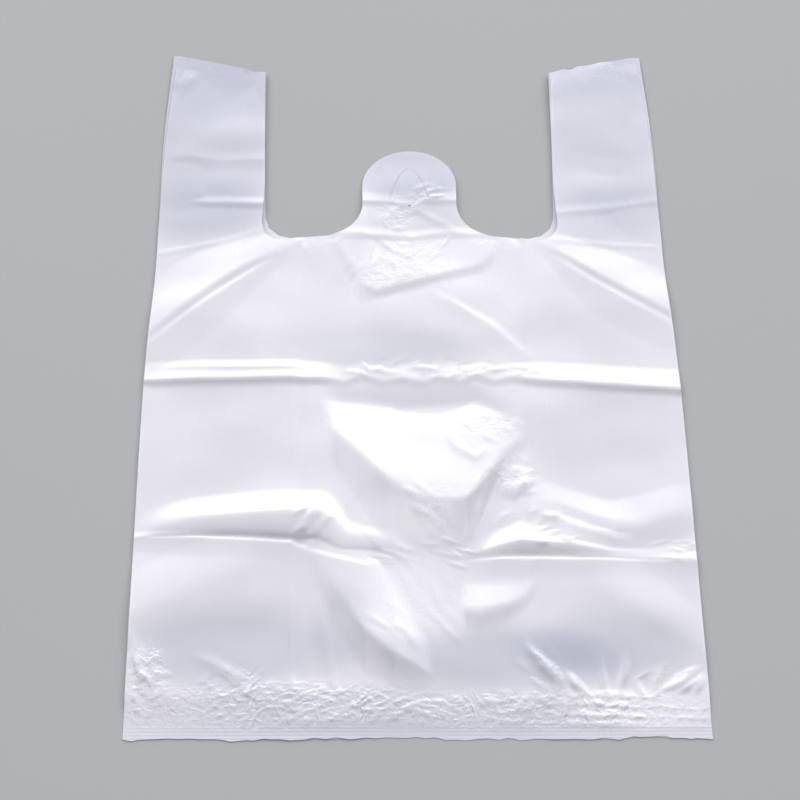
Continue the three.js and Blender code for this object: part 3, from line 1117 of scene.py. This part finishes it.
@dataclass
class CarrierBag:
    """The bag's film as one open, folded tube that lies on the floor."""

    cut: BagCut
    grid: FilmGrid = field(init=False)
    relief: Relief = field(init=False)
    drift: Drift = field(init=False)
    floor_gap: float = 0.2
    welded_pitch: float = 0.08
    loose_pitch: float = 0.5
    bottom_lead: float = 18.0
    top_lead: float = 60.0
    gusset_edge: Pair = (-5.0, 1.0)
    gusset_layers: float = 2.0
    lift_shares: tuple[float, ...] = (0.0, 0.1, 0.35, 1.0)
    weld_lift_share: float = 0.25
    weld_lift_span: Pair = (2.0, 14.0)
    deepest_dent: float = 0.15
    bulge: float = 0.4
    welded_bulge_share: float = 0.3
    handle_curl: float = 1.2
    curl_length: float = 100.0

    def __post_init__(self) -> None:
        """Lays out the grid, the slip and the relief for the cut."""
        self.grid = FilmGrid(self.cut)
        self.drift = Drift(self.cut)
        body_folds = shoulder_folds() + upper_folds() + middle_folds() + lower_folds() + bottom_folds()
        self.relief = Relief(
            self.cut,
            folds=body_folds + weld_folds() + handle_folds(),
            crumples=worn_spots(),
            # The slack patches are painted shade and painted light on the film's colour.
            slack=painted_shade_patches(),
        )

    def looseness(self, x: Field, v: Field) -> Field:
        """How far the layers may part: 0 in the welds, rising to 1 over a short way from them.

        Args:
            x: Places across the bag.
            v: Places along the bag.

        Returns:
            The share at each place.
        """
        cut = self.cut
        top = cut.top_line(x) - cut.weld_width
        from_bottom = smooth_step(v, cut.weld_width, cut.weld_width + self.bottom_lead)
        on_handle = np.abs(x) >= cut.handle_inner
        from_top = np.where(on_handle, 1 - smooth_step(v, top - self.top_lead, top), 1.0)
        return from_bottom * from_top

    def settled(self, x: Field, v: Field, stack: Field) -> Field:
        """Height of the film: the stack of layers under it, its share of the lift, and the curl.

        The layers lie one pitch apart. The front panel takes the whole lift and the layers under
        it less and less, and it sinks between the gussets, where only the back panel is under it.
        The handles curl up a little towards their tops.

        Args:
            x: Places across the bag.
            v: Places along the bag.
            stack: The layer of each place.

        Returns:
            The height over the floor at each place.
        """
        inner = self.cut.gusset_inner
        pitch = self.welded_pitch + (self.loose_pitch - self.welded_pitch) * self.looseness(x, v)
        over_gusset = smooth_step(np.abs(x), inner + self.gusset_edge[0], inner + self.gusset_edge[1])
        sunk = stack - self.gusset_layers * (1 - over_gusset)
        layers = np.where(stack > Layer.UPPER_GUSSET, sunk, stack)
        share = np.interp(stack, list(Layer), self.lift_shares)
        off_weld = smooth_step(v, *self.weld_lift_span)
        weld_share = self.weld_lift_share + (1 - self.weld_lift_share) * off_weld
        lift = np.maximum(self.relief.lift(x, v), -self.deepest_dent)
        curl = self.handle_curl * smooth_step(v, self.cut.length - self.curl_length, self.cut.length)
        return self.floor_gap + pitch * layers + share * weld_share * lift + curl

    def surface(self) -> FilmMesh:
        """The film as arrays: the flat tube is cut, slips in its plane and takes its heights.

        The flat area is the sum of each kept cell's width times the mean of its two side lengths.

        Returns:
            The arrays, with only the vertices that the cut leaves.
        """
        cut = self.cut
        across, layer, fold_share = self.grid.columns()
        rows = self.grid.rows()
        v = cut.warped(across[:, None], rows[None, :])
        x, stack, bulge = (np.broadcast_to(a[:, None], v.shape) for a in (across, layer, fold_share))
        new_x, new_v = self.drift.moved(x, v, stack)
        height = self.settled(new_x, new_v, stack)
        loose_bulge = (1 - self.welded_bulge_share) * self.looseness(x, v)
        bulge_reach = self.bulge * (self.welded_bulge_share + loose_bulge)
        points = np.stack([new_x + bulge_reach * bulge, new_v - cut.length / 2, height], axis=-1) * MM

        gone = cut.is_cut_away(across[:, None], np.roll(across, -1)[:, None], rows[None, :-1])
        used, quads = np.unique(self.grid.cells(*v.shape)[~gone], return_inverse=True)

        step = np.abs(np.diff(across, append=across[0]))
        around = np.concatenate([[0.0], np.cumsum(step)[:-1]])
        flat = np.stack(np.broadcast_arrays(around[:, None], v), axis=-1) * MM
        tall = np.diff(v, axis=1)
        cell_area = step[:, None] * (tall + np.roll(tall, -1, axis=0)) / 2
        tones = {
            WORN_TONE: self.relief.worn(new_x, new_v).reshape(-1)[used],
            # Painted shade, and painted light where below 0, for the film's colour.
            PAINTED_SHADE_TONE: self.relief.painted_shade_amount(new_x, new_v).reshape(-1)[used],
        }
        return FilmMesh(
            points=points.reshape(-1, 3)[used],
            quads=quads.reshape(-1, 4),
            flat=flat.reshape(-1, 2)[used],
            tones=tones,
            area=float(np.sum(cell_area[~gone])) * MM * MM,
        )

    def build(self, material: bpy.types.Material) -> bpy.types.Object:
        """Args:
            material: The film's finish.

        Returns:
            The finished piece.
        """
        made = self.surface()
        mesh = bpy.data.meshes.new("bag_film")
        mesh.from_pydata(made.points.tolist(), [], made.quads.tolist())
        mesh.polygons.foreach_set("use_smooth", np.ones(len(made.quads), bool))
        layer = mesh.uv_layers.new(name=FILM_MAP)
        layer.data.foreach_set("uv", made.flat[made.quads.reshape(-1)].reshape(-1))
        for name, tone in made.tones.items():
            mesh.attributes.new(name, "FLOAT", "POINT")
            mesh.attributes[name].data.foreach_set("value", tone)
        mesh.update()
        film = bpy.data.objects.new("bag_film", mesh)
        bpy.context.scene.collection.objects.link(film)
        mesh.materials.append(material)
        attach(film, "root")
        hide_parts(BAG_NODE)
        return film


class Value:
    """A shader value. Arithmetic on it adds Math nodes to its tree."""

    def __init__(self, shade: Shade, socket: bpy.types.NodeSocket) -> None:
        """Wraps an output socket of a node in a shade's tree."""
        self.shade = shade
        self.socket = socket

    def math(self, operation: str, *others: Value | float) -> Value:
        """This value and others through one Math node."""
        sockets = dict(enumerate((self, *others)))
        return self.shade.node("ShaderNodeMath", {"operation": operation}, sockets).out(0)

    def __add__(self, other: Value | float) -> Value:
        """Sum."""
        return self.math("ADD", other)

    def __sub__(self, other: Value | float) -> Value:
        """Difference."""
        return self.math("SUBTRACT", other)

    def __rsub__(self, other: float) -> Value:
        """Difference from a number."""
        return self.math("MULTIPLY_ADD", -1.0, other)

    def __mul__(self, other: Value | float) -> Value:
        """Product."""
        return self.math("MULTIPLY", other)

    __radd__ = __add__
    __rmul__ = __mul__

    def above(self, limit: float) -> Value:
        """1 where the value is over a limit, otherwise 0."""
        return self.math("GREATER_THAN", limit)

    def sine(self) -> Value:
        """Sine of the value in radians."""
        return self.math("SINE")

    def size(self) -> Value:
        """The value without its sign."""
        return self.math("ABSOLUTE")


class Node:
    """A shader node of a shade's tree."""

    def __init__(self, shade: Shade, node: bpy.types.Node) -> None:
        """Wraps a node."""
        self.shade = shade
        self.node = node

    def out(self, name: str | int) -> Value:
        """One output of the node."""
        return Value(self.shade, self.node.outputs[name])


class Shade:
    """A material's node tree, with one method that adds any node."""

    def __init__(self, name: str) -> None:
        """Starts a material with an empty tree.

        Args:
            name: Name of the material.
        """
        self.material = bpy.data.materials.new(name)
        self.material.use_nodes = True
        self.tree = self.material.node_tree
        self.tree.nodes.clear()

    def node(
        self,
        kind: str,
        settings: dict[str, Any] | None = None,
        inputs: dict[str | int, Any] | None = None,
    ) -> Node:
        """Adds a node.

        Args:
            kind: The node's type.
            settings: Its properties, set first.
            inputs: The value or link of each of its sockets.

        Returns:
            The node.
        """
        made = self.tree.nodes.new(kind)
        for name, value in (settings or {}).items():
            setattr(made, name, value)
        for name, value in (inputs or {}).items():
            if isinstance(value, Value):
                self.tree.links.new(value.socket, made.inputs[name])
            else:
                made.inputs[name].default_value = value
        return Node(self, made)

    def tone(self, name: str) -> Value:
        """A number that the mesh holds at each vertex."""
        return self.node("ShaderNodeAttribute", {"attribute_name": name}).out("Fac")

    def mixed(self, factor: Value, low: Value | Colour, high: Value | Colour) -> Value:
        """A colour between two, through a Mix node.

        Args:
            factor: 0 for the first colour, 1 for the second.
            low: The first colour.
            high: The second colour.

        Returns:
            The mixed colour.
        """
        # A Mix node's sockets for colours, which share their names with those for numbers.
        low_socket, high_socket, result = 6, 7, 2
        settings = {"data_type": "RGBA", "clamp_factor": False}
        sockets = {"Factor": factor, low_socket: low, high_socket: high}
        return self.node("ShaderNodeMix", settings, sockets).out(result)

    def surface(self, shader: Value) -> bpy.types.Material:
        """Ends the tree with its output, and gives the material."""
        self.node("ShaderNodeOutputMaterial", None, {"Surface": shader})
        return self.material


@dataclass(frozen=True)
class Noise:
    """A noise pattern over places in metres, which may be drawn out along an axis."""

    scale: float
    detail: float = 2.0
    distortion: float = 0.0
    drawn: tuple[float, float, float] | None = None

    def value(self, shade: Shade, place: Value) -> Value:
        """The pattern at a place.

        Args:
            shade: The shade that the nodes are added to.
            place: The place, as a vector.

        Returns:
            The noise, about 0 to 1.
        """
        if self.drawn:
            mapping = shade.node("ShaderNodeMapping", None, {"Vector": place, "Scale": self.drawn})
            place = mapping.out("Vector")
        sockets = {
            "Vector": place,
            "Scale": self.scale,
            "Detail": self.detail,
            "Distortion": self.distortion,
        }
        return shade.node("ShaderNodeTexNoise", None, sockets).out("Fac")


@dataclass(frozen=True)
class FilmFinish:
    """Milky polyethylene film: cool white, embossed, with haze and drawing streaks.

    Pitches, heights and places are in millimetres.
    """

    colour: Colour = (0.81, 0.80, 0.89, 1.0)
    haze_colour: Colour = (0.87, 0.86, 0.93, 1.0)
    # The grey that painted shade mixes into the film's colour.
    painted_shade_colour: Colour = (0.625, 0.63, 0.735, 1.0)
    opacity: float = 0.86
    haze_opacity: float = 0.12
    worn_opacity: float = 0.02
    roughness: float = 0.22
    haze_roughness: float = 0.08
    specular: float = 0.52
    refraction: float = 1.52
    haze: Noise = Noise(16.0, detail=3.0)
    streaks: Noise = Noise(1.0, drawn=(260.0, 7.0, 1.0))
    wobble: Noise = Noise(42.0)
    grain: Noise = Noise(190.0, detail=3.0, distortion=0.4)
    emboss_pitch: float = 1.6
    emboss_height: float = 0.011
    streak_height: float = 0.03
    wobble_height: float = 0.12
    grain_height: float = 0.02
    worn_grain_height: float = 0.4
    weld_pitch: float = 2.0
    weld_height: float = 0.06
    slit_half_span: float = 12.0
    slit_top: float = 379.0
    slit_base: float = 354.0
    slit_width: float = 0.13
    pin_at: float = 350.0
    pin_radius: float = 0.6

    def material(self, cut: BagCut) -> bpy.types.Material:
        """The film's material: painted shade greys its colour and painted light brightens it, by the slack
        tone, and its haze varies its gloss.

        Args:
            cut: The bag's cut, for the place of the weld, the slit and the pin hole.

        Returns:
            The material.
        """
        shade = Shade("milky_film")
        flat = shade.node("ShaderNodeUVMap", {"uv_map": FILM_MAP}).out("UV")
        place = shade.node("ShaderNodeTexCoord").out("Object")
        axes = shade.node("ShaderNodeSeparateXYZ", None, {0: place})
        x = axes.out("X") * (1 / MM)
        v = axes.out("Y") * (1 / MM) + cut.length / 2
        worn = shade.tone(WORN_TONE)
        haze = self.haze.value(shade, flat)
        tint = shade.mixed(haze, self.colour, self.haze_colour)
        in_weld = (cut.weld_width - v).above(0.0)
        weld = (v * (2 * math.pi / self.weld_pitch)).sine() * in_weld * haze * self.weld_height
        height = self.texture(shade, flat, worn) + weld
        bump = shade.node("ShaderNodeBump", None, {"Height": height, "Strength": 1.0, "Distance": MM})
        opacity = self.opacity + haze * self.haze_opacity + worn * self.worn_opacity
        shader = shade.node(
            "ShaderNodeBsdfPrincipled",
            None,
            {
                # Painted shade greys the colour towards the shade colour, and painted light, below 0,
                # brightens it.
                "Base Color": shade.mixed(shade.tone(PAINTED_SHADE_TONE), tint, self.painted_shade_colour),
                "Roughness": self.roughness + haze * self.haze_roughness,
                "Alpha": opacity * (1 - self.slit(x, v)),
                "Normal": bump.out("Normal"),
                "IOR": self.refraction,
                "Specular IOR Level": self.specular,
            },
        )
        return shade.surface(shader.out("BSDF"))

    def texture(self, shade: Shade, flat: Value, worn: Value) -> Value:
        """Height of the film's fine texture.

        The emboss is a product of two sines on the flat film. Streaks are noise drawn out along the
        bag, a wobble is broad noise, and crinkles are (1 - |2n - 1|)^2 of a noise n, most where the
        film is crumpled.

        Args:
            shade: The shade that the nodes are added to.
            flat: The place on the flat film, in metres.
            worn: How crumpled the film is.

        Returns:
            The height in millimetres.
        """
        axes = shade.node("ShaderNodeSeparateXYZ", None, {0: flat})
        turn = 2 * math.pi / (self.emboss_pitch * MM)
        rising = ((axes.out("X") + axes.out("Y")) * turn).sine()
        falling = ((axes.out("X") - axes.out("Y")) * turn).sine()
        ridge = 1 - (self.grain.value(shade, flat) * 2 - 1).size()
        crinkles = ridge * ridge * (self.grain_height + worn * self.worn_grain_height)
        streaks = self.streaks.value(shade, flat) * self.streak_height
        wobble = self.wobble.value(shade, flat) * self.wobble_height
        return rising * falling * self.emboss_height + streaks + wobble + crinkles

    def slit(self, x: Value, v: Value) -> Value:
        """1 in the tear slit, a thin parabola over the pin hole, and in the hole itself.

        The slit's width is measured about square to it: the height off the parabola is compared
        with half the width times 1 plus the parabola's slope.

        Args:
            x: The place across the bag.
            v: The place along the bag.

        Returns:
            The mask.
        """
        rise = (self.slit_top - self.slit_base) / self.slit_half_span**2
        off_arch = (v + x * x * rise - self.slit_top).size()
        steep = 1 + x.size() * (2 * rise)
        on_arch = (steep * (self.slit_width / 2) - off_arch).above(0.0) * v.above(self.slit_base)
        down = v - self.pin_at
        in_pin = (self.pin_radius**2 - x * x - down * down).above(0.0)
        return on_arch + in_pin - on_arch * in_pin


@dataclass(frozen=True)
class FloorFinish:
    """A smooth pale studio floor."""

    colour: Colour = (0.40, 0.405, 0.42, 1.0)
    mottle_colour: Colour = (0.43, 0.435, 0.45, 1.0)
    mottle: Noise = Noise(1.5)
    roughness: float = 0.85

    def material(self) -> bpy.types.Material:
        """The floor's material: matt, with a faint broad mottle.

        Returns:
            The material.
        """
        shade = Shade("studio_floor")
        place = shade.node("ShaderNodeTexCoord").out("Object")
        colour = shade.mixed(self.mottle.value(shade, place), self.colour, self.mottle_colour)
        sockets = {"Base Color": colour, "Roughness": self.roughness}
        return shade.surface(shade.node("ShaderNodeBsdfPrincipled", None, sockets).out("BSDF"))


@dataclass(frozen=True)
class SoftBox:
    """A rectangular studio light that faces the bag. Angles are in degrees and lengths in metres."""

    name: str
    azimuth: float
    elevation: float
    distance: float
    size: Pair
    radiance: float

    def place(self) -> bpy.types.Object:
        """Adds the light. Its power is its radiance times pi times its area.

        Returns:
            The light.
        """
        lamp = bpy.data.lights.new(self.name, "AREA")
        lamp.shape = "RECTANGLE"
        lamp.size, lamp.size_y = self.size
        lamp.energy = self.radiance * math.pi * self.size[0] * self.size[1]
        light = bpy.data.objects.new(self.name, lamp)
        turn, rise = math.radians(self.azimuth), math.radians(self.elevation)
        way = Vector((math.sin(turn) * math.cos(rise), math.cos(turn) * math.cos(rise), math.sin(rise)))
        light.location = way * self.distance
        light.rotation_euler = way.to_track_quat("Z", "Y").to_euler()
        bpy.context.scene.collection.objects.link(light)
        return light


@dataclass(frozen=True)
class Studio:
    """The camera, the lights and the floor.

    Angles are in degrees. The camera's height, target and sensor are in millimetres, and the
    floor's size is in metres.
    """

    focal_pixels: float = 2539.36
    image_pixels: float = 800.0
    sensor: float = 36.0
    elevation: float = 54.339
    yaw: float = -1.8756
    roll: float = 1.556
    height: float = 1145.35
    target: Pair = (-7.0, -23.6)
    lamps: tuple[SoftBox, ...] = (
        SoftBox("window_light", azimuth=0.0, elevation=22.5, distance=5.0, size=(6.0, 3.05), radiance=4.6),
        SoftBox("left_light", azimuth=-58.0, elevation=38.0, distance=4.0, size=(2.4, 2.0), radiance=2.4),
        SoftBox("right_light", azimuth=58.0, elevation=38.0, distance=4.0, size=(2.4, 2.0), radiance=2.4),
        SoftBox("front_light", azimuth=180.0, elevation=78.0, distance=1.6, size=(1.3, 1.1), radiance=1.65),
    )
    world_colour: Colour = (1.0, 1.0, 1.0, 1.0)
    world_strength: float = 0.24
    floor_size: float = 30.0

    def camera(self) -> bpy.types.Object:
        """A camera in front of the bag that looks down on it.

        It looks at the target from the given elevation, yaw and height, and is rolled about its
        own line of sight.

        Returns:
            The camera.
        """
        rise, yaw, roll = (math.radians(a) for a in (self.elevation, self.yaw, self.roll))
        back = Vector((math.sin(yaw) * math.cos(rise), -math.cos(yaw) * math.cos(rise), math.sin(rise)))
        right = (-back).cross(Vector((0, 0, 1))).normalized()
        up = right.cross(-back)
        turned_right = right * math.cos(roll) + up * math.sin(roll)
        turned_up = up * math.cos(roll) - right * math.sin(roll)
        place = Vector((*self.target, 0)) * MM + back * (self.height * MM / math.sin(rise))
        lens = bpy.data.cameras.new("camera")
        lens.sensor_width = self.sensor
        lens.lens = self.focal_pixels * self.sensor / self.image_pixels
        camera = bpy.data.objects.new("camera", lens)
        axes = Matrix((turned_right, turned_up, back)).transposed().to_4x4()
        camera.matrix_world = Matrix.Translation(place) @ axes
        bpy.context.scene.collection.objects.link(camera)
        bpy.context.scene.camera = camera
        return camera

    def lights(self) -> list[bpy.types.Object]:
        """A broad low light behind the handles, one at each side, one over the front and an even world.

        Returns:
            The lights, without the world.
        """
        world = bpy.data.worlds.new("studio")
        world.use_nodes = True
        background = world.node_tree.nodes["Background"]
        background.inputs["Color"].default_value = self.world_colour
        background.inputs["Strength"].default_value = self.world_strength
        bpy.context.scene.world = world
        return [lamp.place() for lamp in self.lamps]

    def floor(self) -> bpy.types.Object:
        """The floor under the bag, at the height that it lies on.

        Returns:
            The floor.
        """
        half = self.floor_size / 2
        corners = [(-half, -half, 0.0), (half, -half, 0.0), (half, half, 0.0), (-half, half, 0.0)]
        mesh = bpy.data.meshes.new("floor")
        mesh.from_pydata(corners, [], [(0, 1, 2, 3)])
        mesh.materials.append(FloorFinish().material())
        floor = bpy.data.objects.new("floor", mesh)
        bpy.context.scene.collection.objects.link(floor)
        return floor


def main() -> None:
    """Loads the frame, then makes the studio and the bag."""
    logging.basicConfig(level=logging.INFO, format="%(message)s")
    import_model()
    bpy.context.scene.view_settings.view_transform = "Standard"
    studio = Studio()
    for made in (studio.camera(), *studio.lights(), studio.floor()):
        LOG.info("studio: %s", made.name)
    cut = BagCut.from_node(BAG_NODE)
    film = CarrierBag(cut).build(FilmFinish().material(cut))
    LOG.info("%s: %d faces", film.name, len(film.data.polygons))


if __name__ == "__main__":
    main()
